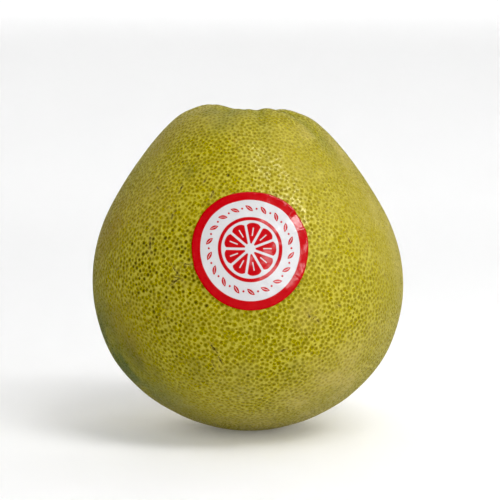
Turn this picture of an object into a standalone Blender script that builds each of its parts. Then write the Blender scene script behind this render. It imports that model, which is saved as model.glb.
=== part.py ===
"""A whole pomelo: the fruit, the dry stem button in the dimple on its top, and a round paper label on its side.

Metres, +Z up. The fruit rests on the small flat spot at its blossom end. The origin is on that surface, under the
middle of the fruit's box, and the label faces -Y. Azimuth is measured round +Z from -Y towards +X.
"""

import math

import bmesh
import bpy
import numpy as np

HEIGHT = 0.1607  # of the plain turned shape, from the resting spot to the rim round the dimple
RADIUS = 0.0770  # of the plain turned shape at its widest
WIDEST_AT = 0.0760  # height of the widest part
REST_RADIUS = 0.0110  # of the flat resting spot
GAP = 0.0003  # left between pieces that touch

SHARP_FROM = math.radians(50)  # an edge that turns by more than this is shaded sharp
SEGMENTS = 64  # steps round the fruit
STEPS_PER_SPAN = 3  # rings between two outline points

# The fruit's half outline as (share of RADIUS, share of HEIGHT), from the rim of the resting spot up over the
# shoulder and the rim of the dimple, and down to the dimple's floor. A smooth curve goes through them.
OUTLINE = (
    (REST_RADIUS / RADIUS, 0.000),
    (0.285, 0.016),
    (0.475, 0.052),
    (0.692, 0.120),
    (0.884, 0.228),
    (0.986, 0.364),
    (1.000, 0.500),
    (0.933, 0.634),
    (0.791, 0.763),
    (0.615, 0.880),
    (0.453, 0.960),
    (0.331, 0.990),
    (0.227, 1.000),
    (0.150, 0.984),
    (0.091, 0.961),
    (0.000, 0.958),
)

RIM_RADIUS = 0.0175  # of the rim round the dimple
SHOULDER = (0.70 * HEIGHT, 0.90 * HEIGHT)  # heights between which the stem end's own shape sets in
RIM_FADES = (1.3 * RIM_RADIUS, 3.4 * RIM_RADIUS)  # radii between which the rim's rise fades out
CALYX_SEAT = 0.0070  # radius of the plain part of the dimple's floor, where the calyx sits
LEAN = 0.0100  # the top leans to -X by this share of the height
NEAR_SIDE_RISE = 0.0018  # the dimple's rim stands this much higher on the -Y side
LEFT_SIDE_RISE = 0.0011  # and this much higher on the -X side
SADDLE = 0.0007  # the rim also dips by this much to the front and back
SWELL = 0.0005  # depth of the slow uneven swelling of the whole fruit
FURROW_PULL = 0.35  # how far a furrow also draws the rind in, as a share of its depth

# Furrows that run out of the dimple: azimuth on its rim and how far they turn on their way out (degrees), depth on
# the rim, half width, and the radius where the furrow has gone.
FURROWS = (
    (16.0, -9.0, 0.0013, 0.0036, 0.068),
    (54.0, 4.0, 0.0014, 0.0042, 0.062),
    (84.0, 4.0, 0.0010, 0.0030, 0.046),
    (112.0, -3.0, 0.0013, 0.0030, 0.054),
    (150.0, 5.0, 0.0009, 0.0022, 0.044),
    (190.0, -4.0, 0.0018, 0.0044, 0.060),
    (221.0, 3.0, 0.0009, 0.0024, 0.045),
    (256.0, -6.0, 0.0012, 0.0030, 0.056),
    (291.0, 4.0, 0.0008, 0.0024, 0.042),
    (342.0, -7.0, 0.0013, 0.0058, 0.050),
    (358.0, 2.0, 0.0006, 0.0020, 0.036),
)

LABEL_WIDTH = 0.0552
LABEL_HEIGHT = 0.0568
LABEL_MIDDLE = 0.0979  # height of the label's middle
LABEL_AZIMUTH = 1.2  # degrees
LABEL_THICKNESS = 0.0003
LABEL_RINGS = 5
LABEL_SEGMENTS = 40

# Half outline of the stem button as (radius, height over the dimple's floor), from the middle of its underside
# round the thin rim of the calyx and up to the cut face of the stalk.
BUTTON_OUTLINE = (
    (0.0, 0.0),
    (0.0034, 0.0),
    (0.0056, 0.0002),
    (0.0061, 0.0007),
    (0.0055, 0.0013),
    (0.0041, 0.0016),
    (0.0031, 0.0020),
    (0.0027, 0.0026),
    (0.0026, 0.0035),
    (0.0022, 0.0039),
    (0.0, 0.0036),
)
BUTTON_SEGMENTS = 40
CALYX_LOBES = 5
CALYX_LOBE_DEPTH = 0.13  # as a share of the calyx's radius
LOBED = (0.0032, 0.0056)  # radii between which the lobes set in


def catmull_rom(points, steps):
    """A smooth curve through the points, with this many steps between two of them."""
    points = np.array(points, float)
    start = 2 * points[0] - points[1]
    end = points[-2] * (-1, 1)  # the curve carries on past the axis as its own mirror image
    padded = np.vstack([start, points, end])
    curve = []
    for a, b, c, d in zip(padded, padded[1:], padded[2:], padded[3:]):
        for t in np.arange(steps) / steps:
            cubic = (-a + 3 * b - 3 * c + d) * t**3
            curve.append(0.5 * (2 * b + (c - a) * t + (2 * a - 5 * b + 4 * c - d) * t**2 + cubic))
    curve.append(points[-1])
    return np.array(curve)


def ease(value, start, end):
    """0 at start and 1 at end, smooth at both."""
    t = np.clip((value - start) / (end - start), 0, 1)
    return t * t * (3 - 2 * t)


def turned(radius, height, azimuth):
    """A point of the plain turned shape."""
    return np.stack([radius * np.sin(azimuth), -radius * np.cos(azimuth), height], axis=-1)


def furrow_depth(radius, azimuth):
    """How far the furrows of the stem end cut in at a point of the shoulder or the dimple."""
    depth = np.zeros_like(radius)
    for degrees, turn, on_rim, half_width, gone_at in FURROWS:
        way_out = (radius - RIM_RADIUS) / (gone_at - RIM_RADIUS)
        off = azimuth - np.radians(degrees + turn * np.clip(way_out, 0, 1))
        across = radius * np.sin(off) / (half_width * (0.5 + np.clip(radius / RIM_RADIUS, 0, 1) / 2))
        along = ease(radius, CALYX_SEAT, 0.7 * RIM_RADIUS) * (1 - ease(way_out, 0.1, 1.0))
        depth += on_rim * along * np.exp(-(across**2)) * (np.cos(off) > 0)
    return depth


def grown(point):
    """Moves points of the plain turned shape to where the uneven, leaning fruit has them."""
    x, y, z = point[..., 0], point[..., 1], point[..., 2]
    radius = np.hypot(x, y)
    azimuth = np.arctan2(x, -y)
    on_top = ease(z, *SHOULDER)
    rim = on_top * ease(radius, CALYX_SEAT, RIM_RADIUS) * (1 - ease(radius, *RIM_FADES))
    tilt = NEAR_SIDE_RISE * np.cos(azimuth) - LEFT_SIDE_RISE * np.sin(azimuth)
    rise = rim * (tilt - SADDLE * np.cos(2 * azimuth))
    slow = np.sin(3 * azimuth + 22 * z + 0.6) * np.sin(30 * z + 0.4) + np.sin(2 * azimuth - 15 * z)
    side = ease(z, 0.0, 0.012) * ease(radius, 0.020, 0.050)
    swell = SWELL * side * slow
    shallow = on_top * furrow_depth(radius, azimuth)
    outward = (swell - FURROW_PULL * shallow) / np.maximum(radius, 0.001)
    return np.stack(
        [
            x * (1 + outward) + LEAN * (WIDEST_AT - z),
            y * (1 + outward),
            z + rise - shallow,
        ],
        axis=-1,
    )


def half_outline():
    return catmull_rom(OUTLINE, STEPS_PER_SPAN) * (RADIUS, HEIGHT)


def spun(outline, segments):
    """A closed turned mesh: the outline's points, first and last on the axis, spun once round +Z."""
    mesh = bmesh.new()
    corners = [mesh.verts.new((0, -radius, height)) for radius, height in outline]
    edges = [mesh.edges.new(pair) for pair in zip(corners, corners[1:])]
    bmesh.ops.spin(
        mesh,
        geom=corners + edges,
        axis=(0, 0, 1),
        cent=(0, 0, 0),
        angle=2 * math.pi,
        steps=segments,
        use_merge=True,
    )
    bmesh.ops.remove_doubles(mesh, verts=mesh.verts, dist=1e-6)
    bmesh.ops.recalc_face_normals(mesh, faces=mesh.faces)
    return mesh


def move_corners(mesh, rule):
    """Moves every corner of a mesh by a rule that takes and returns an array of points."""
    moved = rule(np.array([corner.co[:] for corner in mesh.verts]))
    for corner, place in zip(mesh.verts, moved):
        corner.co = place


def material(name, colour, roughness):
    made = bpy.data.materials.new(name)
    made.use_nodes = True
    shader = made.node_tree.nodes["Principled BSDF"]
    shader.inputs["Base Color"].default_value = (*colour, 1)
    shader.inputs["Roughness"].default_value = roughness
    shader.inputs["Metallic"].default_value = 0
    return made


def add_piece(name, mesh, look):
    """Turns a bmesh into a named object of the scene, shaded smooth but for its sharp rims."""
    data = bpy.data.meshes.new(name)
    mesh.to_mesh(data)
    mesh.free()
    data.shade_smooth()
    data.set_sharp_from_angle(angle=SHARP_FROM)
    data.materials.append(look)
    piece = bpy.data.objects.new(name, data)
    bpy.context.scene.collection.objects.link(piece)
    return piece


def fruit():
    """The whole fruit as one solid, with its flat resting spot and the furrowed dimple of its stem end."""
    outline = np.vstack([(0.0, 0.0), half_outline()])
    mesh = spun(outline, SEGMENTS)
    move_corners(mesh, grown)
    return add_piece("fruit", mesh, material("rind", (0.40, 0.33, 0.04), 0.42))


def stem_button():
    """The dry, five-lobed calyx and the short cut stalk that it holds, lying on the dimple's floor."""
    outline = half_outline()[::-1]

    def shape(point):
        radius = np.hypot(point[:, 0], point[:, 1])
        azimuth = np.arctan2(point[:, 0], -point[:, 1])
        on_calyx = ease(radius, *LOBED)
        lobes = 1 + CALYX_LOBE_DEPTH * on_calyx * (np.cos(CALYX_LOBES * azimuth) - 1) / 2
        floor = np.interp(radius * lobes, outline[:, 0], outline[:, 1])
        return np.stack([point[:, 0] * lobes, point[:, 1] * lobes, floor + GAP + point[:, 2]], axis=-1)

    mesh = spun(BUTTON_OUTLINE, BUTTON_SEGMENTS)
    move_corners(mesh, lambda point: grown(shape(point)))
    return add_piece("stem_button", mesh, material("stem", (0.16, 0.11, 0.05), 0.85))


def label_points(across, up, lift):
    """Points of the label from its flat coordinates, laid on the fruit and lifted off it by a distance."""
    outline = half_outline()
    outline = outline[: int(np.argmax(outline[:, 1]))]
    along = np.concatenate([[0], np.cumsum(np.hypot(*np.diff(outline, axis=0).T))])
    middle = np.interp(LABEL_MIDDLE, outline[:, 1], along)

    def on_rind(across, up):
        radius = np.interp(middle + up, along, outline[:, 0])
        height = np.interp(middle + up, along, outline[:, 1])
        return grown(turned(radius, height, math.radians(LABEL_AZIMUTH) + across / radius))

    step = 0.002  # to either side, for the direction that the rind faces
    right = on_rind(across + step, up) - on_rind(across - step, up)
    upward = on_rind(across, up + step) - on_rind(across, up - step)
    normal = np.cross(right, upward)
    normal /= np.linalg.norm(normal, axis=-1, keepdims=True)
    return on_rind(across, up) + lift * normal


def label_sticker():
    """The round label: a thin film that follows the rind."""
    mesh = bmesh.new()
    bmesh.ops.create_circle(mesh, cap_ends=True, radius=LABEL_WIDTH / 2, segments=LABEL_SEGMENTS)
    for _ in range(LABEL_RINGS - 1):
        middle = max(mesh.faces, key=lambda face: len(face.verts))
        bmesh.ops.inset_individual(mesh, faces=[middle], thickness=LABEL_WIDTH / 2 / LABEL_RINGS)
    middle = max(mesh.faces, key=lambda face: len(face.verts))
    bmesh.ops.poke(mesh, faces=[middle])
    film = bmesh.ops.extrude_face_region(mesh, geom=mesh.faces[:])
    for corner in film["geom"]:
        if isinstance(corner, bmesh.types.BMVert):
            corner.co.z = LABEL_THICKNESS
    taller = LABEL_HEIGHT / LABEL_WIDTH
    move_corners(mesh, lambda point: label_points(point[:, 0], taller * point[:, 1], GAP + point[:, 2:]))
    bmesh.ops.recalc_face_normals(mesh, faces=mesh.faces)
    return add_piece("label_sticker", mesh, material("label", (0.72, 0.16, 0.15), 0.30))


def main():
    for old in list(bpy.data.objects):
        bpy.data.objects.remove(old)
    fruit()
    stem_button()
    label_sticker()


main()
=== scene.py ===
"""The looks of a whole pomelo: its pitted rind, its dry stem button and a round glossy label.

Metres, +Z up, with the label towards -Y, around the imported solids. Azimuth is measured round +Z, from -Y
towards +X.
"""

import math

import bpy
import numpy as np
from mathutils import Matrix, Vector, geometry, kdtree


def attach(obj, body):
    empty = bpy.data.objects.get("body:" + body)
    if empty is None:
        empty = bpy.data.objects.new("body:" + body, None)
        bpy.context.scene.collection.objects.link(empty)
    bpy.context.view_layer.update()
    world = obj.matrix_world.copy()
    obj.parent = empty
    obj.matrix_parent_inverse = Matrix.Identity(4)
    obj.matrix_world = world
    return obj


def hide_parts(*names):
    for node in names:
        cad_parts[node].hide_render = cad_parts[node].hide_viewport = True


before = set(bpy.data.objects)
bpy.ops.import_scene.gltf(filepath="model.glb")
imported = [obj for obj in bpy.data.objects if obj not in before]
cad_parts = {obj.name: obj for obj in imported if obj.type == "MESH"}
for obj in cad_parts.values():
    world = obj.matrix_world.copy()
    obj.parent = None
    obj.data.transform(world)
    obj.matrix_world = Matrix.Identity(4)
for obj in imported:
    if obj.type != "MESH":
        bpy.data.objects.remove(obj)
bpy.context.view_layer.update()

# -------- the fruit's shape, as the solid has it

HEIGHT = 0.1607  # of the plain turned shape, from the resting spot to the rim round the dimple
RADIUS = 0.0770  # of the plain turned shape at its widest
WIDEST_AT = 0.0760  # height of the widest part
REST_RADIUS = 0.0110  # of the flat resting spot
# The fruit's half outline as (share of RADIUS, share of HEIGHT), from the rim of the resting spot up over the
# shoulder and the rim of the dimple, and down to the dimple's floor. A smooth curve goes through them.
OUTLINE = (
    (REST_RADIUS / RADIUS, 0.000),
    (0.285, 0.016),
    (0.475, 0.052),
    (0.692, 0.120),
    (0.884, 0.228),
    (0.986, 0.364),
    (1.000, 0.500),
    (0.933, 0.634),
    (0.791, 0.763),
    (0.615, 0.880),
    (0.453, 0.960),
    (0.331, 0.990),
    (0.227, 1.000),
    (0.150, 0.984),
    (0.091, 0.961),
    (0.000, 0.958),
)
STEPS_PER_SPAN = 30  # of the curve, between two outline points

RIM_RADIUS = 0.0175  # of the rim round the dimple
SHOULDER = (0.70 * HEIGHT, 0.90 * HEIGHT)  # heights between which the stem end's own shape sets in
RIM_FADES = (1.3 * RIM_RADIUS, 3.4 * RIM_RADIUS)  # radii between which the rim's rise fades out
CALYX_SEAT = 0.0070  # radius of the plain part of the dimple's floor, where the calyx sits
LEAN = 0.0100  # the fruit leans to -X by this share of the height
NEAR_SIDE_RISE = 0.0018  # how much the rim round the dimple rises on the -Y side, and sinks opposite
LEFT_SIDE_RISE = 0.0011  # how much it rises on the -X side, and sinks opposite
SADDLE = 0.0007  # how much it also dips to the front and back, and rises at the sides
SWELL = 0.0005  # half of the most that the slow swelling of the sides moves them in or out
FURROW_PULL = 0.35  # how far a furrow also draws the rind in, as a share of its depth
# Furrows that run out of the dimple: azimuth on its rim and how far they turn on their way out (degrees),
# depth on the rim, half width, and the radius where the furrow has gone.
FURROWS = (
    (16, -9, 0.0013, 0.0036, 0.068),
    (54, 4, 0.0014, 0.0042, 0.062),
    (84, 4, 0.0010, 0.0030, 0.046),
    (112, -3, 0.0013, 0.0030, 0.054),
    (150, 5, 0.0009, 0.0022, 0.044),
    (190, -4, 0.0018, 0.0044, 0.060),
    (221, 3, 0.0009, 0.0024, 0.045),
    (256, -6, 0.0012, 0.0030, 0.056),
    (291, 4, 0.0008, 0.0024, 0.042),
    (342, -7, 0.0013, 0.0058, 0.050),
    (358, 2, 0.0006, 0.0020, 0.036),
)

# -------- the oil glands' pits

PITS = 15400  # over the whole rind
RIND_AREA = 0.0762  # square metres
SPACING = math.sqrt(RIND_AREA / PITS * 2 / math.sqrt(3))  # of neighbouring pits, if they were evenly spread
ROUND_PITS = 0.56  # share of the pits, the largest, that are modelled with a rim of their own
SCATTER = 0.27  # how far a pit strays from an even spread, as a share of the spacing
CROWDING = 0.22  # how much denser the pits are at the stem end
SETTLING_STEPS = 6
PUSH = 0.28  # share of the missing distance that a pit moves away from each close neighbour, in one step
KEPT_APART = 0.92  # the distance that neighbours are pushed to, as a share of the spacing
BOTTOM_ROOM = 0.6  # how far other pits stay from the one straight below, as a share of the spacing
SKEW_TO_LARGE = 1.7  # above 1, large pits outnumber small ones
RIDGE = 0.00005  # how far the net between the pits stands above the plain surface
PIT_DEPTH = 0.00030  # of the largest pits
PIT_RADIUS = (0.00088, 0.00126)  # of the smallest and the largest, out to where the dark fades
PIT_FILL = 0.98  # the most that a pit fills of the way to its cell's nearest corner
PIT_RIM = 0.60  # where the rim of a round pit lies, as a share of the pit's radius
PIT_RIM_RISE = 0.1 * RIDGE  # of that rim above the plain surface
DOT_DEPTH = 0.4  # how deep in its pit the dark dot's middle is, as a share of the pit's depth
FAINTEST = 0.62  # usual darkness of the smallest pits
LARGE_DARKER = 0.40  # how much darker the largest are
BLACKEST = 1.30  # darkness of the few that are nearly black
BLACKEST_SHARE = 0.010
CORE = Vector((0, 0, 0.5 * HEIGHT))  # a point inside, from which the whole surface can be seen
OFF_AXIS = (0.31, 0.74, 0.59)  # any direction off the axes, from which angles round a pit are counted
TILE_SHARE = 0.47  # half of the share of its tile that each side of the cube map fills

# -------- patches and marks on the rind

# Azimuth (degrees) and height of a patch's middle, its reach, and how green, brown, pale and smooth it is.
# Pits are fainter and shallower where it is smooth, and darker and deeper where that is below 0.
PATCHES = (
    # The first three are green patches low on the -X side, which also darken it as painted shade.
    (-70, 0.044, 0.036, 0.70, 0, 0, 0.30),
    (-62, 0.028, 0.030, 0.45, 0, 0, 0.25),
    (-52, 0.013, 0.028, 0.30, 0, 0, 0.20),
    (-24, 0.088, 0.050, 0.13, 0.10, 0, 0),
    (-24, 0.050, 0.040, 0.10, 0.05, 0, 0),
    (-34, 0.024, 0.034, 0.02, 0.05, 0, 0.35),
    (-100, 0.060, 0.045, 0.55, 0.10, 0, 0.40),
    (-50, 0.054, 0.024, 0.18, 0.50, 0, 0.55),
    (-30, 0.088, 0.036, 0, 0, 0, -0.30),
    (-44, 0.040, 0.014, 0.35, 0.25, 0, 0.15),
    (-40, 0.024, 0.020, 0.22, 0.05, 0, 0.25),
    (-68, 0.075, 0.034, 0.12, 0.25, 0, 0.35),
    (-70, 0.108, 0.026, 0, 0.80, 0, 0.35),
    (-47, 0.117, 0.020, 0, 0.30, 0.25, 0.10),
    (-64, 0.135, 0.026, 0.04, 0.06, 0.14, 0.40),
    (-66, 0.146, 0.016, 0, 0.55, 0.20, 0.30),
    (-48, 0.156, 0.017, 0.10, 0.10, 0.70, 0.25),
    (-38, 0.158, 0.006, 0.90, 0.20, 0, 0),
    (-16, 0.157, 0.016, 0.30, 0, 0.30, 0.30),
    (-29, 0.132, 0.007, 0.35, 0.10, 0.10, 0),
    (-22, 0.041, 0.013, 0.28, 0.20, 0, 0),
    (-4, 0.034, 0.016, 0.25, 0, 0.40, 0.10),
    (16, 0.040, 0.010, 0.28, 0.10, 0, 0),
    (22, 0.066, 0.011, 0, 0.10, 0.60, 0.25),
    (33, 0.031, 0.027, 0.05, 0, 0.75, 0.40),
    (52, 0.042, 0.028, 0.05, 0, 0.60, 0.30),
    (44, 0.018, 0.020, 0.30, 0, 0.35, 0.30),
    # The next three lie where the light glints above the label: their paleness is a painted highlight, and
    # their smoothness fades the pits as glare does.
    (20, 0.134, 0.030, 0.04, 0, 0.08, 0.20),
    (30, 0.146, 0.032, 0, 0, 0.15, 0.40),
    (48, 0.124, 0.036, 0, 0, 0.15, 0.45),
    (34, 0.090, 0.040, 0, 0, 0.10, 0.30),
    (0, 0.064, 0.026, 0.06, 0, 0, 0.20),
    # These two pale the edge of the +X side as a painted sheen, and fade its pits.
    (74, 0.112, 0.036, 0.05, 0.05, 0.35, 0.70),
    (78, 0.076, 0.044, 0.05, 0, 0.30, 0.85),
    (60, 0.096, 0.040, 0.11, 0, 0.08, 0.15),
    (60, 0.153, 0.006, 0.26, 0, 0, 0),
    (61, 0.148, 0.007, 0.28, 0.05, 0, 0.10),
    (61, 0.142, 0.008, 0.22, 0.08, 0, 0.20),
    (60, 0.135, 0.010, 0.12, 0.08, 0.10, 0.30),
    (74, 0.145, 0.010, 0, 0.08, 0.50, 0.40),
    (75, 0.137, 0.012, 0, 0.08, 0.40, 0.40),
    (46, 0.150, 0.008, 0, 0, 0.40, 0.30),
    (110, 0.060, 0.035, 0.20, 0.35, 0.10, 0.20),
    (140, 0.105, 0.030, 0.45, 0, 0.25, 0.10),
    (165, 0.040, 0.034, 0.10, 0.10, 0.60, 0.50),
    (195, 0.128, 0.028, 0.30, 0.20, 0.20, 0),
    (214, 0.066, 0.040, 0.60, 0.10, 0, 0.30),
    (240, 0.120, 0.026, 0, 0.55, 0.20, 0.30),
)
PATCH_FADES = (0.15, 1.15)  # a patch fades out between these shares of its reach
SMOOTHING = 0.85  # how much of a patch's smoothness the pits take on
SMOOTHING_LIMITS = (-0.3, 0.8)
BLOSSOM_END = (0.004, 0.040)  # heights between which the blossom end's tint and the painted glow from the floor fade out
LOW_TINT_AND_FLOOR_GLOW = (0.32, 0.0, 0.80, 0.40)  # how green, brown, pale and smooth it is; the paleness is painted light from the pale floor
# Painted shade: how much greener and browner the furrows and the dimple are made, darker where shade falls in
# them
FURROW_SHADE_GREEN = 0.42  # of the deepest
DIMPLE_SHADE_GREEN = 0.5
DIMPLE_SHADE_BROWN = 0.35
# Painted sheen: how much paler the top of the shoulder is made
SHOULDER_PAINTED_SHEEN = 0.10
BLOSSOM_SCAR = (0.0016, 0.0044)  # radii between which the scar's colour fades out
BLOSSOM_SCAR_LOW = (0.002, 0.010)  # heights between which it does
BLOSSOM_SCAR_LOOK = (0.0, 1.5, -1.0)  # how much greener, browner and paler it is than the rind round it
PITS_SET_IN = (0.002, 0.006)  # radii between which pits deepen round the scar
# Healed scratches and dark specks: azimuth (degrees) and height, half length, half width, slant (degrees).
SCRATCHES = (
    (-25.0, 0.0858, 0.0040, 0.00048, -50),
    (-25.4, 0.0828, 0.0020, 0.00042, 38),
    (-21.6, 0.0905, 0.0017, 0.00042, 2),
    (-12.0, 0.0510, 0.0022, 0.00050, -56),
    (-10.0, 0.0450, 0.0026, 0.00042, -70),
    (-38.6, 0.0990, 0.0044, 0.00050, -76),
    (-15.3, 0.1220, 0.0014, 0.00042, 72),
    (-31.2, 0.1246, 0.0017, 0.00042, 80),
    (-19.9, 0.1286, 0.0011, 0.00042, 68),
    (-5.4, 0.1456, 0.0012, 0.00046, 66),
    (-31.5, 0.1117, 0.0012, 0.00036, 85),
    (21.6, 0.0668, 0.0009, 0.00050, -40),
    (25.3, 0.0640, 0.0012, 0.00046, -50),
    (41.6, 0.1005, 0.0012, 0.00040, -75),
    (33.5, 0.0706, 0.0008, 0.00046, 0),
    (12.4, 0.0505, 0.0013, 0.00034, 20),
)
OTHER_SCRATCHES = 70  # over the whole rind
SCRATCH_ROOM = 0.0032  # how far round a scratch its own coordinates are kept

# -------- the label and the stem button

LABEL_WIDTH = 0.0552
LABEL_HEIGHT = 0.0568
LABEL_MIDDLE = 0.0979  # height of the label's middle
LABEL_AZIMUTH = 1.2  # degrees
LABEL_LIFT = 0.00044  # of its printed face over the plain rind
LABEL_THICKNESS = 0.00014
LABEL_RINGS = 50
# Where the flat label can't follow the round rind, a facet of its edge stands off it, up to a sharp crease.
# Each row: the crease's angle from the label's right (degrees), the facet's width (degrees, with a minus
# where it lies clockwise of its crease), and how far it stands off.
CREASES = (
    (19, -34, 0.00090),
    (40, 52, 0.00140),
    (-30, 14, 0.00040),
    (-33, -20, 0.00045),
    (-70, 13, 0.00025),
    (200, 62, 0.00080),
    (203, -50, 0.00060),
)
LABEL_WAVES = 0.00013  # strength of the slow waves in the paper
CREASE_START = 0.66  # share of the label's radius
CREASE_WIDTH = 0.08  # how wide the steep side of a crease is, as a share of its facet's width
LABEL_EDGE = 0.985  # where the rounding of the label's edge starts, as a share of its radius

# Half outline of the stem button as (radius, height over the dimple's floor), from the middle of its
# underside round the thin rim of the calyx and up to the cut face of the stalk.
BUTTON_OUTLINE = (
    (0.0, 0.0),
    (0.0034, 0.0),
    (0.0056, 0.0002),
    (0.0061, 0.0007),
    (0.0055, 0.0013),
    (0.0041, 0.0016),
    (0.0031, 0.0020),
    (0.0027, 0.0026),
    (0.0026, 0.0035),
    (0.0022, 0.0039),
    (0.0, 0.0036),
)
BUTTON_STEPS = 7  # between two points of its outline
BUTTON_SEGMENTS = 220  # round it
BUTTON_GAP = 0.0002  # between it and the dimple's floor
CALYX_LOBES = 5
CALYX_LOBE_DEPTH = 0.13  # as a share of its radius
STALK_RADIUS = 0.0026


def catmull_rom(points, steps):
    """A smooth curve through the points, with this many steps between two of them."""
    points = np.array(points, float)
    start = 2 * points[0] - points[1]
    end = points[-2] * (-1, 1)  # the curve carries on past the axis as its own mirror image
    padded = np.vstack([start, points, end])
    curve = []
    for a, b, c, d in zip(padded, padded[1:], padded[2:], padded[3:]):
        for t in np.arange(steps) / steps:
            cubic = (-a + 3 * b - 3 * c + d) * t**3
            curve.append(0.5 * (2 * b + (c - a) * t + (2 * a - 5 * b + 4 * c - d) * t**2 + cubic))
    curve.append(points[-1])
    return np.array(curve)


def ease(value, start, end):
    """0 at start and 1 at end, smooth at both."""
    t = np.clip((value - start) / (end - start), 0, 1)
    return t * t * (3 - 2 * t)


def turned(radius, height, azimuth):
    """A point of the plain turned shape."""
    return np.stack([radius * np.sin(azimuth), -radius * np.cos(azimuth), height], axis=-1)


def furrow_depth(radius, azimuth):
    """How far the furrows of the stem end cut in at a point of the shoulder or the dimple."""
    depth = np.zeros_like(radius)
    for degrees, turn, on_rim, half_width, gone_at in FURROWS:
        way_out = (radius - RIM_RADIUS) / (gone_at - RIM_RADIUS)
        off = azimuth - np.radians(degrees + turn * np.clip(way_out, 0, 1))
        across = radius * np.sin(off) / (half_width * (0.5 + np.clip(radius / RIM_RADIUS, 0, 1) / 2))
        along = ease(radius, CALYX_SEAT, 0.7 * RIM_RADIUS) * (1 - ease(way_out, 0.1, 1.0))
        depth += on_rim * along * np.exp(-(across**2)) * (np.cos(off) > 0)
    return depth


def grown(point):
    """Moves points of the plain turned shape to where the uneven, leaning fruit has them."""
    x, y, z = point[..., 0], point[..., 1], point[..., 2]
    radius = np.hypot(x, y)
    azimuth = np.arctan2(x, -y)
    on_top = ease(z, *SHOULDER)
    rim = on_top * ease(radius, CALYX_SEAT, RIM_RADIUS) * (1 - ease(radius, *RIM_FADES))
    tilt = NEAR_SIDE_RISE * np.cos(azimuth) - LEFT_SIDE_RISE * np.sin(azimuth)
    rise = rim * (tilt - SADDLE * np.cos(2 * azimuth))
    slow = np.sin(3 * azimuth + 22 * z + 0.6) * np.sin(30 * z + 0.4) + np.sin(2 * azimuth - 15 * z)
    side = ease(z, 0.0, 0.012) * ease(radius, 0.020, 0.050)
    swell = SWELL * side * slow
    shallow = on_top * furrow_depth(radius, azimuth)
    outward = (swell - FURROW_PULL * shallow) / np.maximum(radius, 0.001)
    return np.stack(
        [
            x * (1 + outward) + LEAN * (WIDEST_AT - z),
            y * (1 + outward),
            z + rise - shallow,
        ],
        axis=-1,
    )


HALF_OUTLINE = np.vstack([(0.0, 0.0), catmull_rom(OUTLINE, STEPS_PER_SPAN) * (RADIUS, HEIGHT)])
SIDE = HALF_OUTLINE[: np.argmax(HALF_OUTLINE[:, 1])]  # the part outside the dimple
# The angle of each of the outline's points from straight down, as seen from CORE.
ANGLES = np.pi - np.arctan2(HALF_OUTLINE[:, 0], HALF_OUTLINE[:, 1] - CORE.z)


def outline_at(measure, measures, outline=HALF_OUTLINE):
    """Radius and height of the outline where something measured at each of its points has this value."""
    return np.interp(measure, measures, outline[:, 0]), np.interp(measure, measures, outline[:, 1])


def on_shape(points):
    """The points of the plain turned shape in the same directions from CORE."""
    radius = np.hypot(points[:, 0], points[:, 1])
    angle = np.pi - np.arctan2(radius, points[:, 2] - CORE.z)
    azimuth = np.arctan2(points[:, 0], -points[:, 1])
    return turned(*outline_at(angle, ANGLES), azimuth)


def unit(vectors):
    return vectors / np.maximum(np.linalg.norm(vectors, axis=-1, keepdims=True), 1e-12)


# -------- where the pits are


def outer_point(azimuth, height):
    """The point of the grown side or shoulder at an azimuth (radians) and a height of the turned shape."""
    return grown(turned(np.interp(height, SIDE[:, 1], SIDE[:, 0]), height, azimuth))


def even_spread(count):
    """Points spread over the turned shape along a golden spiral, evenly but for the denser stem end."""
    length = np.hypot(*np.diff(HALF_OUTLINE, axis=0).T)
    middle = (HALF_OUTLINE[1:, 0] + HALF_OUTLINE[:-1, 0]) / 2
    crowding = 1 + CROWDING * ease(HALF_OUTLINE[1:, 1], 0.6 * HEIGHT, HEIGHT)
    area = np.concatenate([[0], np.cumsum(length * middle * crowding)])
    share = (np.arange(count) + 0.5) / count * area[-1]
    azimuth = np.arange(count) * math.pi * (3 - math.sqrt(5))
    return turned(*outline_at(share, area), azimuth)


def neighbours(points, count):
    """The places of the nearest points to each point, as an array of (point, neighbour)."""
    tree = kdtree.KDTree(len(points))
    for number, point in enumerate(points):
        tree.insert(point, number)
    tree.balance()
    return np.array([[found[1] for found in tree.find_n(point, count + 1)[1:]] for point in points])


def settled(points, spacing, steps):
    """Pushes points that are too close to each other apart, along the shape."""
    for _ in range(steps):
        apart = points[:, None] - points[neighbours(points, 6)]
        distance = np.linalg.norm(apart, axis=2, keepdims=True)
        push = unit(apart) * np.maximum(spacing - distance, 0)
        points = on_shape(points + PUSH * push.sum(1))
    return points


def net(points):
    """The triangles of the Delaunay net through points round a closed shape.

    The last point has to lie straight below CORE. The others are laid on a plane as seen from it, and those
    on the outside there surround it.
    """
    seen = unit(points[:-1] - CORE)
    flat = seen[:, :2] / (1 + seen[:, 2:])
    found = geometry.delaunay_2d_cdt([Vector(place) for place in flat], [], [], 0, 1e-9)
    source = [which[0] for which in found[3]]
    corners = np.array([[source[corner] for corner in face] for face in found[2]])
    a, b, c = flat[corners].transpose(1, 0, 2)
    turning = (b[:, 0] - a[:, 0]) * (c[:, 1] - a[:, 1]) - (b[:, 1] - a[:, 1]) * (c[:, 0] - a[:, 0])
    corners[turning < 0] = corners[turning < 0][:, ::-1]
    edges = np.vstack([corners[:, [0, 1]], corners[:, [1, 2]], corners[:, [2, 0]]])
    codes = edges[:, 0] * len(points) + edges[:, 1]
    back = edges[:, 1] * len(points) + edges[:, 0]
    rim = edges[~np.isin(back, codes)]
    last = np.full(len(rim), len(points) - 1)
    return np.vstack([corners, np.stack([rim[:, 1], rim[:, 0], last], axis=1)])


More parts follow.
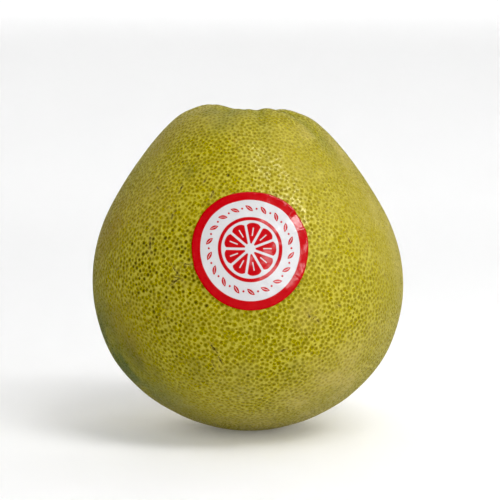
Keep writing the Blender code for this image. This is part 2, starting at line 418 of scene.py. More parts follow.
def pit_places():
    """The pits' middles on the turned shape and how large each is, from 0 to 1. The last is at the bottom."""
    random = np.random.default_rng(11)
    places = even_spread(PITS)
    places = on_shape(places + random.normal(0, SCATTER * SPACING, places.shape))
    places = settled(places, KEPT_APART * SPACING, SETTLING_STEPS)
    below = np.array([[0.0, 0.0, 0.0]])
    places = places[np.linalg.norm(places - below, axis=1) > BOTTOM_ROOM * SPACING]
    largeness = 1 - random.random(len(places)) ** SKEW_TO_LARGE
    order = np.argsort(-largeness)
    return np.vstack([places[order], below]), np.append(largeness[order], 0)


# -------- what is drawn on the rind


def patches_at(points):
    """How green, brown, pale and smooth the rind's patches make it at each point, with a painted glow from
    the floor low down.
    """
    found = np.zeros((len(points), 4))
    for azimuth, height, reach, *amounts in PATCHES:
        distance = np.linalg.norm(points - outer_point(math.radians(azimuth), height), axis=1)
        start, end = PATCH_FADES
        found += (1 - ease(distance, start * reach, end * reach))[:, None] * amounts
    # Painted light: the bottom is made paler, as if lit and mirrored by the pale floor.
    low = 1 - ease(points[:, 2], *BLOSSOM_END)
    return found + low[:, None] * LOW_TINT_AND_FLOOR_GLOW


def tint_at(points, turned_points):
    """How green, how brown and how pale the rind is painted at each point, with painted shade in the furrows
    and the dimple and painted sheen on the shoulder.
    """
    tint = patches_at(points)[:, :3]
    radius = np.hypot(turned_points[:, 0], turned_points[:, 1])
    azimuth = np.arctan2(turned_points[:, 0], -turned_points[:, 1])
    on_top = ease(turned_points[:, 2], *SHOULDER)
    furrow = on_top * furrow_depth(radius, azimuth) / max(depth for _, _, depth, _, _ in FURROWS)
    dimple = on_top * (1 - ease(radius, 0.3 * RIM_RADIUS, RIM_RADIUS))
    # Painted shade: the furrows and the dimple are made greener and browner, so darker.
    tint[:, 0] += FURROW_SHADE_GREEN * furrow + DIMPLE_SHADE_GREEN * dimple
    tint[:, 1] += DIMPLE_SHADE_BROWN * dimple
    # Painted sheen: the shoulder's top is made paler outside the furrows and the dimple.
    tint[:, 2] += SHOULDER_PAINTED_SHEEN * on_top * (1 - furrow) * (1 - dimple)
    on_scar = (1 - ease(turned_points[:, 2], *BLOSSOM_SCAR_LOW)) * (1 - ease(radius, *BLOSSOM_SCAR))
    tint += on_scar[:, None] * BLOSSOM_SCAR_LOOK
    return tint.clip(0, 1)


def scratches():
    """Each scratch's middle, the directions along and across it, its half length, half width and darkness."""
    random = np.random.default_rng(5)
    rows = [(*row, 1.0) for row in SCRATCHES]
    for _ in range(OTHER_SCRATCHES):
        length = 0.0005 + 0.0035 * random.random() ** 4
        rows.append((
            random.uniform(-180, 180),
            random.uniform(0.012, 0.152),
            length,
            random.uniform(0.00025, 0.00045),
            random.uniform(-90, 90),
            random.uniform(0.3, 0.9),
        ))
    made = []
    for azimuth, height, half_length, half_width, slant, darkness in rows:
        azimuth, slant = math.radians(azimuth), math.radians(slant)
        step = 0.001  # in radians and in metres
        middle = outer_point(azimuth, height)
        level = unit(outer_point(azimuth + step, height) - middle)
        upward = unit(outer_point(azimuth, height + step) - middle)
        # A random scratch too close to an earlier random one is left out.
        if any(np.linalg.norm(middle - other[0]) < 3 * SCRATCH_ROOM for other in made[len(SCRATCHES):]):
            continue
        along = math.cos(slant) * level + math.sin(slant) * upward
        across = unit(np.cross(np.cross(level, upward), along))
        made.append((middle, along, across, half_length, half_width, darkness))
    return made


def scratch_at(points):
    """Each point's place along and across the nearest scratch, in its half sizes, and how dark that is."""
    found = np.zeros((len(points), 3))
    nearest = np.full(len(points), SCRATCH_ROOM)
    for middle, along, across, half_length, half_width, darkness in scratches():
        away = points - middle
        u, v = away @ along, away @ across
        distance = np.hypot(np.maximum(abs(u) - half_length, 0), np.maximum(abs(v) - half_width, 0))
        distance = np.maximum(distance, np.linalg.norm(away, axis=1) - 1.5 * half_length)
        closer = distance < nearest
        room = 1 - ease(distance[closer], 0.7 * SCRATCH_ROOM, SCRATCH_ROOM)
        found[closer] = np.stack([u[closer] / half_length, v[closer] / half_width, darkness * room], axis=1)
        nearest[closer] = distance[closer]
    return found


def cube_map(data):
    """Lays the surface out, as seen from CORE, on the six sides of a cube in three columns and two rows."""
    corners = np.empty(len(data.loops), np.int32)
    data.loops.foreach_get("vertex_index", corners)
    first = np.empty(len(data.polygons), np.int32)
    data.polygons.foreach_get("loop_start", first)
    points = np.empty((len(data.vertices), 3), np.float32)
    data.vertices.foreach_get("co", points.ravel())
    seen = (points - np.array(CORE, np.float32))[corners]
    number = np.add.reduceat(np.ones(len(corners)), first).astype(int)
    middle = np.repeat(np.add.reduceat(seen, first), number, axis=0)
    axis = np.abs(middle).argmax(1)
    rows = np.arange(len(corners))
    sign = np.sign(middle[rows, axis])
    depth = seen[rows, axis] * sign
    across = np.arctan2(seen[rows, (axis + 1) % 3], depth) * 4 / math.pi
    up = np.arctan2(seen[rows, (axis + 2) % 3], depth) * 4 / math.pi
    tile = np.stack([axis + 0.5 + TILE_SHARE * across, (sign > 0) + 0.5 + TILE_SHARE * up], axis=1)
    place = tile / (3, 2)
    layer = data.uv_layers.new(name="OFBake")
    layer.uv.foreach_set("vector", place.astype(np.float32).ravel())


# -------- the rind


def rind_piece(places, largeness):
    """The rind as one closed surface: a cell round each pit, whose corners are the net between the pits."""
    random = np.random.default_rng(12)
    triangles = net(places)
    n_pits = len(places)
    plain = grown(places)
    a, b, c = plain[triangles].transpose(1, 0, 2)
    outward = np.zeros_like(plain)
    for corner in range(3):
        np.add.at(outward, triangles[:, corner], np.cross(b - a, c - a))
    outward = unit(outward)
    corner_outward = unit(outward[triangles].sum(1))
    corner_places = on_shape(places[triangles].mean(1))
    corners = grown(corner_places) + RIDGE * corner_outward

    # Each pit's corners in order round it, as seen from outside.
    pit = triangles.ravel()
    corner = np.repeat(np.arange(len(triangles)), 3)
    spoke = corners[corner] - plain[pit]
    across = unit(np.cross(outward[pit], OFF_AXIS))
    along = np.cross(outward[pit], across)
    order = np.lexsort((np.arctan2((spoke * along).sum(1), (spoke * across).sum(1)), pit))
    pit, corner, spoke = pit[order], corner[order], spoke[order]
    count = np.bincount(pit)
    first = np.concatenate([[0], np.cumsum(count)[:-1]])
    after = np.arange(len(pit)) + 1
    after[first + count - 1] = first

    round_ones = np.arange(n_pits) < ROUND_PITS * n_pits
    reach = np.minimum.reduceat(np.linalg.norm(spoke, axis=1), first)
    size = np.minimum(PIT_RADIUS[0] + (PIT_RADIUS[1] - PIT_RADIUS[0]) * largeness, PIT_FILL * reach)
    smooth = (SMOOTHING * patches_at(plain)[:, 3]).clip(*SMOOTHING_LIMITS)
    depth = PIT_DEPTH * (0.25 + 0.75 * largeness) * random.uniform(0.75, 1.2, n_pits) * (1 - 0.5 * smooth)
    off_scar = ease(np.hypot(places[:, 0], places[:, 1]), *PITS_SET_IN)
    depth *= np.where(places[:, 2] < CORE.z, off_scar, 1)
    middles = plain - depth[:, None] * outward

    in_round = round_ones[pit]
    share = (size[pit] / np.linalg.norm(spoke, axis=1))[in_round, None] * PIT_RIM
    ring_places = places[pit[in_round]] * (1 - share) + corner_places[corner[in_round]] * share
    ring_outward = unit(outward[pit[in_round]] * (1 - share) + corner_outward[corner[in_round]] * share)
    ring_places = on_shape(ring_places)
    ring = grown(ring_places) + PIT_RIM_RISE * ring_outward

    corner_at = n_pits + corner
    ring_at = np.full(len(pit), -1)
    ring_at[in_round] = n_pits + len(corners) + np.arange(in_round.sum())
    wide = np.flatnonzero(in_round)
    narrow = np.flatnonzero(~in_round)
    wide_next, narrow_next = after[wide], after[narrow]
    faces = []
    for sides in (
        [pit[wide], ring_at[wide], ring_at[wide_next]],
        [ring_at[wide], corner_at[wide], corner_at[wide_next], ring_at[wide_next]],
        [pit[narrow], corner_at[narrow], corner_at[narrow_next]],
    ):
        faces += np.stack(sides, axis=1).tolist()
    pit_of_face = np.concatenate([pit[wide], pit[wide], pit[narrow]])
    points = np.vstack([middles, corners, ring])
    points[:, 2] = np.maximum(points[:, 2], 0)

    data = bpy.data.meshes.new("rind")
    data.from_pydata(points, [], faces)
    middle_of_dot = plain - DOT_DEPTH * depth[:, None] * outward
    look = np.stack([size, (1 - smooth) * darkness_of(largeness, random), random.random(n_pits)], axis=1)
    for name, values in (("gland", middle_of_dot), ("gland_look", look)):
        layer = data.attributes.new(name, "FLOAT_VECTOR", "FACE")
        layer.data.foreach_set("vector", values[pit_of_face].astype(np.float32).ravel())
    turned_points = np.vstack([places, corner_places, ring_places])
    for name, values in (("tint", tint_at(points, turned_points)), ("scratch", scratch_at(points))):
        layer = data.attributes.new(name, "FLOAT_VECTOR", "POINT")
        layer.data.foreach_set("vector", values.astype(np.float32).ravel())
    cube_map(data)
    return add_piece("pomelo_rind", data, rind_material())


def darkness_of(largeness, random):
    """How dark each pit is. The small ones are fainter, and a few are nearly black."""
    usual = (FAINTEST + LARGE_DARKER * largeness) * random.uniform(0.70, 1.15, len(largeness))
    blackest = (random.random(len(largeness)) < BLACKEST_SHARE) & (largeness > 0.3)
    return np.where(blackest, BLACKEST, usual)


def add_piece(name, data, material):
    """Puts a mesh in the scene, shaded smooth."""
    data.validate()
    data.shade_smooth()
    data.materials.append(material)
    piece = bpy.data.objects.new(name, data)
    bpy.context.scene.collection.objects.link(piece)
    return piece


# -------- the label


def label_points(across, up, lift):
    """Points of the label from its flat coordinates, laid on the fruit and lifted off it by a distance."""
    along = np.concatenate([[0], np.cumsum(np.hypot(*np.diff(SIDE, axis=0).T))])
    middle = np.interp(LABEL_MIDDLE, SIDE[:, 1], along)

    def on_rind(across, up):
        radius, height = outline_at(middle + up, along, SIDE)
        return grown(turned(radius, height, math.radians(LABEL_AZIMUTH) + across / radius))

    step = 0.002
    right = on_rind(across + step, up) - on_rind(across - step, up)
    upward = on_rind(across, up + step) - on_rind(across, up - step)
    return on_rind(across, up) + lift[:, None] * unit(np.cross(right, upward))


def stand_off(share, angle):
    """How far the label's creased edge stands off the rind."""
    lift = np.zeros_like(share)
    for crease, width, height in CREASES:
        off = ((np.degrees(angle) - crease + 180) % 360 - 180) / width
        facet = np.minimum(1 - off, 1 + off / CREASE_WIDTH).clip(0, 1)
        lift += height * facet * ease(share, CREASE_START, 1.1)
    return lift


def waves(across, up):
    """How the paper rises and falls where it doesn't stick, from about -1.7 to 1.7."""
    crossed = np.sin(15 * across + 5 * up + 1) * np.sin(12 * up - 4 * across)
    return crossed + 0.7 * np.sin(9 * across - 14 * up)


def label_piece():
    """The round label as a thin closed film. Ring number n of each face has 6 n corners."""
    share, angle, faces = [0.0], [0.0], []
    before = [0]
    for ring in range(1, LABEL_RINGS + 1):
        now = list(range(len(share), len(share) + 6 * ring))
        share += [ring / LABEL_RINGS] * len(now)
        angle += [math.tau * i / len(now) for i in range(len(now))]
        for sixth in range(6):
            for i in range(ring):
                out = now[sixth * ring + i]
                out_next = now[(sixth * ring + i + 1) % len(now)]
                inner = before[(sixth * (ring - 1) + i) % len(before)]
                faces.append((inner, out, out_next))
                if i < ring - 1:
                    inner_next = before[(sixth * (ring - 1) + i + 1) % len(before)]
                    faces.append((inner, out_next, inner_next))
        before = now
    share, angle = np.array(share), np.array(angle)
    across, up = share * np.cos(angle), share * np.sin(angle)
    lift = LABEL_LIFT + stand_off(share, angle) + LABEL_WAVES * waves(across, up)
    count = len(share)
    rounding = 0.25 * LABEL_THICKNESS * ease(share, LABEL_EDGE, 1.0)
    printed = label_points(across * LABEL_WIDTH / 2, up * LABEL_HEIGHT / 2, lift - rounding)
    glued = label_points(across * LABEL_WIDTH / 2, up * LABEL_HEIGHT / 2, lift - LABEL_THICKNESS)
    faces += [tuple(count + corner for corner in reversed(face)) for face in faces]
    faces += [(a, b, b + count, a + count)[::-1] for a, b in zip(before, before[1:] + before[:1])]
    data = bpy.data.meshes.new("label")
    data.from_pydata(np.vstack([printed, glued]), [], faces)
    sheet = np.stack([np.tile(across, 2), np.tile(up, 2), np.repeat([1.0, 0.0], count)], axis=1)
    layer = data.attributes.new("sheet", "FLOAT_VECTOR", "POINT")
    layer.data.foreach_set("vector", sheet.astype(np.float32).ravel())
    return add_piece("round_label", data, label_material())


# -------- the stem button


def revolved(outline, segments):
    """Points and faces of a half outline spun round +Z. It starts and may end on the axis."""
    azimuth = np.arange(segments) * math.tau / segments
    to_axis = outline[-1][0] == 0
    rings = np.array(outline[1:-1] if to_axis else outline[1:])
    points = [(0.0, 0.0, outline[0][1])]
    points += [(r * math.sin(t), -r * math.cos(t), z) for r, z in rings for t in azimuth]
    faces = []
    for i in range(segments):
        j = (i + 1) % segments
        faces.append((0, 1 + j, 1 + i))
        for low in range(1, 1 + (len(rings) - 1) * segments, segments):
            faces.append((low + i, low + j, low + segments + j, low + segments + i))
        if to_axis:
            faces.append((len(points) - segments + i, len(points) - segments + j, len(points)))
    if to_axis:
        points.append((0.0, 0.0, outline[-1][1]))
    return np.array(points), faces


def button_piece():
    """The dry, five-lobed calyx and the short cut stalk that it holds, wrinkled along their fibres."""
    points, faces = revolved(catmull_rom(BUTTON_OUTLINE, BUTTON_STEPS), BUTTON_SEGMENTS)
    radius = np.hypot(points[:, 0], points[:, 1])
    azimuth = np.arctan2(points[:, 0], -points[:, 1])
    upper = ease(points[:, 2], 0.0004, 0.0010)
    on_calyx = ease(radius, 0.0032, 0.0056)
    uneven = 0.5 * np.sin(2 * azimuth + 0.7) + 0.4 * np.sin(7 * azimuth + 2) + 0.3 * np.sin(13 * azimuth)
    wave = np.cos(CALYX_LOBES * azimuth + 0.25 * np.sin(3 * azimuth)) - 1
    outline_share = 1 + on_calyx * (CALYX_LOBE_DEPTH / 2 * wave + 0.02 * uneven)
    on_stalk = ease(points[:, 2], 0.0019, 0.0026) * (1 - ease(points[:, 2], 0.0037, 0.0039))
    ribs = 0.035 * np.cos(9 * azimuth + 0.8 * np.sin(2 * azimuth)) + 0.02 * np.cos(23 * azimuth + 1)
    points[:, :2] *= (outline_share + on_stalk * ribs)[:, None]
    wrinkles = 0.5 * np.cos(31 * azimuth + 2 * np.sin(5 * azimuth)) + 0.5 * np.cos(17 * azimuth + 1.3)
    points[:, 2] += 0.00012 * on_calyx * upper * (wrinkles + 1.2 * uneven)
    on_cut = (radius < 0.9 * STALK_RADIUS) & (points[:, 2] > 0.003)
    points[:, 2] += np.where(on_cut, 0.00016 * np.sin(radius * 5200) * np.cos(6 * azimuth + 9000 * radius), 0)
    inner = HALF_OUTLINE[len(SIDE):][::-1]
    radius = np.hypot(points[:, 0], points[:, 1])
    points[:, 2] += BUTTON_GAP + np.interp(radius, inner[:, 0], inner[:, 1])
    data = bpy.data.meshes.new("button")
    data.from_pydata(grown(points), [], faces)
    return add_piece("dry_stem_button", data, button_material())


# -------- materials


class Shader:
    """Short calls for building one material's nodes. A value is a socket or a number."""

    def __init__(self, name):
        self.material = bpy.data.materials.new(name)
        self.material.use_nodes = True
        self.tree = self.material.node_tree
        self.surface = self.tree.nodes["Principled BSDF"]

    def node(self, kind, inputs=(), **settings):
        made = self.tree.nodes.new(kind)
        for name, value in settings.items():
            setattr(made, name, value)
        for key, value in dict(inputs).items():
            self.feed(made.inputs[key], value)
        return made

    def feed(self, socket, value):
        if isinstance(value, bpy.types.NodeSocket):
            self.tree.links.new(value, socket)
        elif isinstance(value, (tuple, list)) and socket.type == "RGBA":
            socket.default_value = (*value, 1)
        else:
            socket.default_value = value

    def place(self):
        return self.node("ShaderNodeTexCoord").outputs["Object"]

    def attribute(self, name):
        return self.node("ShaderNodeAttribute", attribute_name=name).outputs["Vector"]

    def give(self, name, value):
        """Gives the surface itself a value."""
        self.feed(self.surface.inputs[name], value)

    def math(self, operation, a, b=0.0):
        return self.node("ShaderNodeMath", {0: a, 1: b}, operation=operation).outputs[0]

    def plus(self, a, b):
        return self.math("ADD", a, b)

    def minus(self, a, b):
        return self.math("SUBTRACT", a, b)

    def times(self, a, b):
        return self.math("MULTIPLY", a, b)

    def size_of(self, a):
        return self.math("ABSOLUTE", a)

    def hypot(self, a, b):
        return self.math("SQRT", self.plus(self.times(a, a), self.times(b, b)))

    def distance(self, a, b):
        return self.node("ShaderNodeVectorMath", {0: a, 1: b}, operation="DISTANCE").outputs["Value"]

    def split(self, vector):
        return self.node("ShaderNodeSeparateXYZ", {0: vector}).outputs

    def ramp(self, value, start, end, low=0.0, high=1.0):
        """A value between two limits as low to high, smooth at both."""
        inputs = {"Value": value, "From Min": start, "From Max": end, "To Min": low, "To Max": high}
        return self.node("ShaderNodeMapRange", inputs, interpolation_type="SMOOTHSTEP").outputs["Result"]

    def noise(self, vector, scale, detail=2.0, roughness=0.5, distortion=0.0):
        inputs = {"Vector": vector, "Scale": scale, "Detail": detail}
        inputs |= {"Roughness": roughness, "Distortion": distortion}
        return self.node("ShaderNodeTexNoise", inputs).outputs["Fac"]

    def mix(self, share, a, b, blend="MIX"):
        made = self.node("ShaderNodeMix", data_type="RGBA", blend_type=blend, clamp_result=False)
        self.feed(made.inputs[0], share)
        self.feed(made.inputs[6], a)
        self.feed(made.inputs[7], b)
        return made.outputs[2]

    def bump(self, height, distance, strength=1.0, normal=None, invert=False):
        inputs = {"Height": height, "Distance": distance, "Strength": strength}
        if normal:
            inputs["Normal"] = normal
        return self.node("ShaderNodeBump", inputs, invert=invert).outputs["Normal"]

    def spots(self, vector, scale, share, size):
        """1 on round spots that lie about 1 / scale apart, where only this share of the places has one."""
        made = self.node("ShaderNodeTexVoronoi", {"Vector": vector, "Scale": scale})
        chosen = self.ramp(self.split(made.outputs["Color"])[0], 1 - share, 1 - 0.8 * share)
        return self.times(chosen, self.ramp(made.outputs["Distance"], 0.5 * size, size, 1.0, 0.0))


def linear(red, green, blue):
    """A colour on screen, from 0 to 255, as the light it gives off."""
    return tuple(
        value / 12.92 if value <= 0.04045 else ((value + 0.055) / 1.055) ** 2.4
        for value in (red / 255, green / 255, blue / 255)
    )


RIND_YELLOW = linear(162, 148, 4)
RIND_OLIVE = linear(147, 137, 6)
RIND_GREEN = linear(86, 102, 38)
RIND_BROWN = linear(146, 112, 36)
RIND_BEIGE = linear(186, 168, 92)
# A paler tone at random, and the painted highlight on the crests of the net between the pits
RIND_PALE_TONE_AND_LIT_CREST = linear(196, 184, 66)
PIT_OLIVE = linear(118, 110, 0)
PIT_BROWN = linear(112, 96, 0)
PIT_BLACK = linear(60, 51, 8)
SCAR_BROWN = linear(76, 60, 26)


def rind_material():
    """Waxy yellow-green rind: soft dark dots in the pits, a net between whose crests are painted lighter as
    if lit, patches (some of them painted shade, sheen and highlight) and healed marks.
    """
    s = Shader("rind")
    place = s.place()
    slow = s.noise(place, 14.0, 3.0, 0.55)
    patchy = s.noise(place, 75.0, 4.0, 0.62)
    fine = s.noise(place, 900.0, 3.0, 0.6)

    radius, darkness, tone = s.split(s.attribute("gland_look"))
    away = s.math("DIVIDE", s.distance(place, s.attribute("gland")), radius)
    away = s.plus(away, s.ramp(fine, 0.25, 0.75, -0.10, 0.10))
    dot = s.ramp(away, 0.00, 1.14, 1.0, 0.0)
    # Painted highlight: the crests of the net round each pit are painted lighter, where they would catch the
    # light.
    lit_crest = s.times(s.ramp(away, 0.84, 1.22), s.ramp(darkness, 0.15, 0.7, 0.35, 1.0))

    green, brown, pale = s.split(s.attribute("tint"))
    broken = s.ramp(patchy, 0.36, 0.62, 0.45, 1.0)
    green, brown, pale = (s.times(share, broken) for share in (green, brown, pale))
    green = s.times(green, 1.2)
    skin = s.mix(s.ramp(slow, 0.36, 0.64), RIND_YELLOW, RIND_OLIVE)
    skin = s.mix(s.ramp(patchy, 0.50, 0.72, 0.0, 0.30), skin, RIND_PALE_TONE_AND_LIT_CREST)
    # Painted highlight: the net's crests take the paler colour.
    skin = s.mix(s.times(lit_crest, s.ramp(fine, 0.3, 0.7, 0.35, 0.90)), skin, RIND_PALE_TONE_AND_LIT_CREST)
    skin = s.mix(s.times(green, 0.85), skin, RIND_GREEN)
    skin = s.mix(s.times(brown, 0.60), skin, RIND_BROWN)
    skin = s.mix(s.times(pale, 0.65), skin, RIND_BEIGE)
    skin = s.mix(s.times(s.spots(place, 170.0, 0.10, 0.16), 0.55), skin, RIND_BROWN)

    pit = s.mix(s.ramp(tone, 0.0, 1.0), PIT_OLIVE, PIT_BROWN)
    pit = s.mix(s.times(green, 0.6), pit, s.mix(0.5, RIND_GREEN, PIT_BLACK))
    pit = s.mix(s.ramp(darkness, 1.05, 1.25, 0.0, 0.75), pit, PIT_BLACK)
    seen = s.times(darkness, s.ramp(pale, 0.0, 1.0, 1.0, 0.7))
    colour = s.mix(s.math("MINIMUM", s.times(dot, seen), 1.0), skin, pit)

    along, across, scratched = s.split(s.attribute("scratch"))
    ragged = s.hypot(across, along)
    ragged = s.plus(ragged, s.ramp(s.noise(place, 520.0, 2.0), 0.25, 0.75, -0.9, 0.9))
    broken_up = s.ramp(s.noise(place, 760.0, 1.0), 0.40, 0.56, 0.40, 1.0)
    scar = s.times(s.times(s.ramp(ragged, 0.55, 1.45, 1.0, 0.0), scratched), broken_up)
    halo = s.times(s.ramp(ragged, 1.2, 3.4, 0.18, 0.0), scratched)
    colour = s.mix(halo, colour, RIND_BEIGE)
    colour = s.mix(s.times(scar, 0.95), colour, s.mix(fine, PIT_BLACK, SCAR_BROWN))

    s.give("Base Color", colour)
    waxy = s.ramp(s.noise(place, 430.0, 3.0, 0.65), 0.40, 0.56, 0.13, 0.68)
    dull = s.times(s.plus(s.plus(scar, pale), dot), 0.2)
    s.give("Roughness", s.plus(waxy, dull))
    s.give("Specular IOR Level", 0.50)
    s.give("Specular Tint", (1.0, 0.95, 0.72))
    s.give("Sheen Weight", 0.16)
    s.give("Sheen Roughness", 0.45)
    s.give("Sheen Tint", linear(250, 246, 216))
    hollow = s.ramp(away, 0.08, 0.72, 1.0, 0.0)
    round_pit = s.bump(hollow, 0.00020, 0.8, invert=True)
    scabbed = s.bump(scar, 0.00012, 0.8, round_pit, invert=True)
    s.give("Normal", s.bump(fine, 0.00008, 0.5, scabbed))
    return s.material


LABEL_RED = linear(184, 32, 36)
LABEL_DARK_RED = linear(164, 28, 32)
LABEL_WHITE = linear(205, 205, 207)
GLUE_GREY = linear(196, 192, 180)
BORDER = 0.848  # inner radius of the red border, as a share of the label's
LEAVES = 18  # in a ring, with a dot between each two
LEAVES_RADIUS = 0.700
LEAF_LENGTH = 0.082  # half of it
LEAF_WIDTH = 0.034  # half of it
LEAF_SLANT = math.radians(38)
RIB_LENGTH = 0.05  # half of it, of the white rib in a leaf
RIB_WIDTH = 0.0035  # half of it
DOT_RADIUS = 0.018
SLICE_RADIUS = 0.545
SLICE_SKIN = 0.060
SLICE_PARTS = 9
SLICE_GAP = 0.020
SLICE_HUB = 0.09  # radius of the white middle
VEIN_AT = 0.29  # radius of the middle of the white vein in each part
VEIN_LENGTH = 0.07  # half of it
VEIN_WIDTH = 0.009  # half of it
EDGE = 0.008  # how softly the ink ends


def label_material():
    """Glossy white paper with a red border, a ring of leaves and dots, and a citrus slice as its print."""
    s = Shader("label")
    sheet = s.attribute("sheet")
    across, up, printed = s.split(sheet)
    radius = s.hypot(across, up)
    angle = s.plus(s.math("ARCTAN2", up, across), math.pi)

    def above(value, limit):
        return s.ramp(value, s.minus(limit, EDGE / 2), s.plus(limit, EDGE / 2))

    def below(value, limit):
        return s.minus(1.0, above(value, limit))

    def off_middle(parts):
        """How far round from the middle of its part each point is, from -0.5 to 0.5 of a part."""
        turn = s.times(angle, parts / math.tau)
        return s.minus(s.math("FRACT", turn), 0.5)

    border = above(radius, BORDER)
    around = s.times(s.times(off_middle(LEAVES), math.tau / LEAVES), LEAVES_RADIUS)
    outward = s.minus(radius, LEAVES_RADIUS)
    cos, sin = math.cos(LEAF_SLANT), math.sin(LEAF_SLANT)
    lengthwise = s.plus(s.times(around, cos), s.times(outward, sin))
    sideways = s.minus(s.times(outward, cos), s.times(around, sin))
    length_share = s.math("DIVIDE", lengthwise, LEAF_LENGTH)
    width_share = s.math("DIVIDE", s.size_of(sideways), LEAF_WIDTH)
    leaves = s.ramp(s.plus(width_share, s.times(length_share, length_share)), 0.88, 1.12, 1.0, 0.0)
    rib_width = below(s.size_of(sideways), RIB_WIDTH)
    rib = s.times(rib_width, below(s.size_of(lengthwise), RIB_LENGTH))
    leaves = s.times(leaves, s.minus(1.0, rib))
    off_gap = s.minus(0.5, s.size_of(off_middle(LEAVES)))
    to_dot = s.times(off_gap, math.tau / LEAVES * LEAVES_RADIUS)
    dot_distance = s.hypot(to_dot, outward)
    dots = s.math("MAXIMUM", leaves, below(dot_distance, DOT_RADIUS))
    skin = s.times(above(radius, SLICE_RADIUS - SLICE_SKIN), below(radius, SLICE_RADIUS))
    off = s.size_of(off_middle(SLICE_PARTS))
    part_angle = math.tau / SLICE_PARTS
    to_side = s.times(s.times(s.minus(0.5, off), part_angle), radius)
    rounding = s.times(s.math("POWER", off, 3.0), 0.5)
    round_end = s.minus(SLICE_RADIUS - 1.7 * SLICE_SKIN, rounding)
    part = s.times(s.times(above(to_side, SLICE_GAP), below(radius, round_end)), above(radius, SLICE_HUB))
    vein_width = below(s.times(s.times(off, part_angle), radius), VEIN_WIDTH)
    along_vein = s.size_of(s.minus(radius, VEIN_AT))
    vein = s.times(vein_width, below(along_vein, VEIN_LENGTH))
    part = s.times(part, s.minus(1.0, vein))
    ink = s.math("MAXIMUM", s.math("MAXIMUM", border, dots), s.math("MAXIMUM", skin, part))

    grain = s.noise(sheet, 45.0, 3.0, 0.6)
    net = s.node("ShaderNodeTexVoronoi", {"Vector": sheet, "Scale": 10.0}).outputs["Distance"]
    dimples = s.plus(s.noise(sheet, 4.0, 2.0, 0.45), s.times(net, 0.30))
    glossy = s.ramp(grain, 0.3, 0.7, 0.08, 0.20)
    white = s.mix(s.ramp(grain, 0.3, 0.7, 0.0, 0.10), LABEL_WHITE, GLUE_GREY)
    red = s.mix(s.ramp(grain, 0.35, 0.75, 0.0, 0.12), LABEL_RED, LABEL_DARK_RED)
    colour = s.mix(printed, GLUE_GREY, s.mix(ink, white, red))
    s.give("Base Color", colour)
    unprinted = s.minus(1.0, ink)
    s.give("Roughness", s.plus(s.times(unprinted, 0.10), glossy))
    s.give("Specular IOR Level", 0.5)
    pressed = s.bump(dimples, 0.00045, 0.6)
    s.give("Normal", s.bump(grain, 0.00004, 0.6, pressed))
    return s.material


DRY_GREEN = linear(92, 88, 48)
DRY_BROWN = linear(84, 62, 36)
DRY_DARK = linear(38, 28, 18)
CUT_WOOD = linear(150, 122, 80)


def button_material():
    """Dry woody calyx and stalk: fibres that run outward, dark in the wrinkles, with a paler cut face."""
    s = Shader("stem")
    x, y, z = s.split(s.place())
    x = s.minus(x, BUTTON_MIDDLE[0])
    y = s.minus(y, BUTTON_MIDDLE[1])
    angle = s.math("ARCTAN2", y, x)
    radius = s.hypot(x, y)
    spread = s.node("ShaderNodeCombineXYZ", {0: s.math("SINE", angle), 1: s.math("COSINE", angle), 2: radius})
    fibres = s.noise(spread.outputs[0], 14.0, 4.0, 0.65, 0.4)
    mottled = s.noise(s.place(), 700.0, 4.0, 0.6)
    colour = s.mix(s.ramp(mottled, 0.35, 0.65), DRY_BROWN, DRY_GREEN)
    colour = s.mix(s.ramp(fibres, 0.30, 0.55, 0.85, 0.0), colour, DRY_DARK)
    near_axis = s.ramp(radius, 0.0018, 0.0024, 1.0, 0.0)
    on_cut = s.times(near_axis, s.ramp(z, BUTTON_TOP - 0.0011, BUTTON_TOP - 0.0007))
    ringed = s.ramp(s.math("SINE", s.times(radius, 9000.0)), -1.0, 1.0, 0.55, 1.0)
    colour = s.mix(s.times(on_cut, ringed), colour, CUT_WOOD)
    s.give("Base Color", colour)
    s.give("Roughness", s.ramp(mottled, 0.3, 0.7, 0.7, 0.92))
    s.give("Specular IOR Level", 0.25)
    s.give("Normal", s.bump(fibres, 0.00025, 0.9, s.bump(mottled, 0.00010, 0.7)))
    return s.material


# -------- the room, the light and the camera

CAMERA_DISTANCE = 0.90
CAMERA_ELEVATION = math.radians(6)
CAMERA_AIM = Vector((0.00125, 0.0, 0.0898))
VIEW_WIDTH = 0.2508  # how much of the plane through the fruit's middle the camera sees from side to side
BLACK_LEVEL = 0.016  # light up to this shows as black, which deepens the darks
FLOOR_RADIUS = 1.4  # of its flat part
BEND_RADIUS = 0.8  # of the bend from the floor up into the wall
WALL_HEIGHT = 2.6


def towards(azimuth, elevation, distance):
    """A point at a distance from the fruit's middle, in a direction in degrees."""
    azimuth, elevation = math.radians(azimuth), math.radians(elevation)
    direction = Vector((
        math.cos(elevation) * math.sin(azimuth),
        -math.cos(elevation) * math.cos(azimuth),
        math.sin(elevation),
    ))
    return CORE + distance * direction


def aim(thing, point):
    thing.rotation_euler = (point - thing.location).to_track_quat("-Z", "Y").to_euler()


def soft_light(name, azimuth, elevation, distance, width, height, power):
    data = bpy.data.lights.new(name, "AREA")
    data.shape = "RECTANGLE"
    data.size = width
    data.size_y = height
    data.energy = power
    lamp = bpy.data.objects.new(name, data)
    bpy.context.scene.collection.objects.link(lamp)
    lamp.location = towards(azimuth, elevation, distance)
    aim(lamp, CORE)


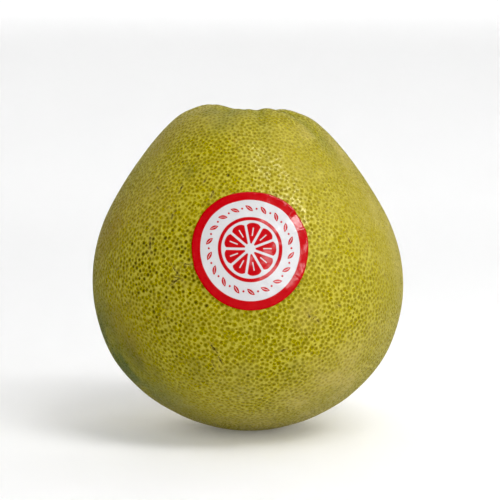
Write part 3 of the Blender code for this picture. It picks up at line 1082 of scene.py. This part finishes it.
def room():
    """A round pale floor that curves up into a wall, the lights, the world's even light and the contrast."""
    bend = np.linspace(0, math.pi / 2, 16)
    curve = zip(FLOOR_RADIUS + BEND_RADIUS * np.sin(bend), BEND_RADIUS * (1 - np.cos(bend)))
    profile = [(0.0, 0.0), *curve, (FLOOR_RADIUS + BEND_RADIUS, WALL_HEIGHT)]
    points, faces = revolved(profile, 96)
    data = bpy.data.meshes.new("floor")
    data.from_pydata(points, [], [face[::-1] for face in faces])
    floor = add_piece("floor", data, floor_material())
    floor.visible_glossy = False  # only the lights mirror in the wax and on the label

    soft_light("pane", 38, 59, 1.28, 0.40, 0.62, 5.2)
    soft_light("low", 23, 15, 1.30, 0.56, 0.40, 2.7)
    soft_light("corner", 46, 25, 1.30, 0.22, 0.22, 0.9)
    soft_light("glint", 54, 44, 1.30, 0.34, 0.36, 3.7)
    soft_light("top", 0, 88, 1.30, 0.55, 0.55, 1.2)
    world = bpy.data.worlds.new("room")
    world.use_nodes = True
    world.node_tree.nodes["Background"].inputs["Color"].default_value = (1, 1, 1, 1)
    world.node_tree.nodes["Background"].inputs["Strength"].default_value = 0.01
    bpy.context.scene.world = world
    look = bpy.context.scene.view_settings
    look.view_transform = "Standard"
    look.use_curve_mapping = True
    look.curve_mapping.black_level = (BLACK_LEVEL,) * 3
    look.curve_mapping.update()


def floor_material():
    """White card with painted light: it glows a little all over, which also lights the fruit from below, and
    more behind the fruit and towards +X.
    """
    s = Shader("floor")
    place = s.place()
    grain = s.noise(place, 40.0, 3.0)
    s.give("Base Color", s.mix(grain, (0.86, 0.86, 0.86), (0.90, 0.90, 0.90)))
    s.give("Roughness", s.ramp(grain, 0.3, 0.7, 0.75, 0.9))
    s.give("Emission Color", (1, 1, 1))
    x, y, z = s.split(place)
    behind = s.times(s.ramp(y, 0.6, 1.4), s.ramp(z, 0.2, 0.5))
    to_right = s.ramp(x, -1.5, -0.5, 0.36, 1.35)
    s.give("Emission Strength", s.plus(s.times(behind, to_right), 0.12))
    return s.material


def camera():
    data = bpy.data.cameras.new("camera")
    data.sensor_width = 36
    data.lens = data.sensor_width * CAMERA_DISTANCE / VIEW_WIDTH
    eye = bpy.data.objects.new("camera", data)
    bpy.context.scene.collection.objects.link(eye)
    back = Vector((0, -math.cos(CAMERA_ELEVATION), math.sin(CAMERA_ELEVATION)))
    eye.location = CAMERA_AIM + CAMERA_DISTANCE * back
    aim(eye, CAMERA_AIM)
    bpy.context.scene.camera = eye


# -------- all of it

BUTTON_MIDDLE = grown(np.array([[0.0, 0.0, HALF_OUTLINE[-1, 1]]]))[0]
BUTTON_TOP = BUTTON_MIDDLE[2] + max(height for _, height in BUTTON_OUTLINE)

rind = rind_piece(*pit_places())
label = label_piece()
button = button_piece()
for piece, node, slot in (
    (rind, "fruit", "rind"),
    (label, "label_sticker", "label"),
    (button, "stem_button", "stem"),
):
    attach(piece, "root")
    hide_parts(node)
room()
camera()
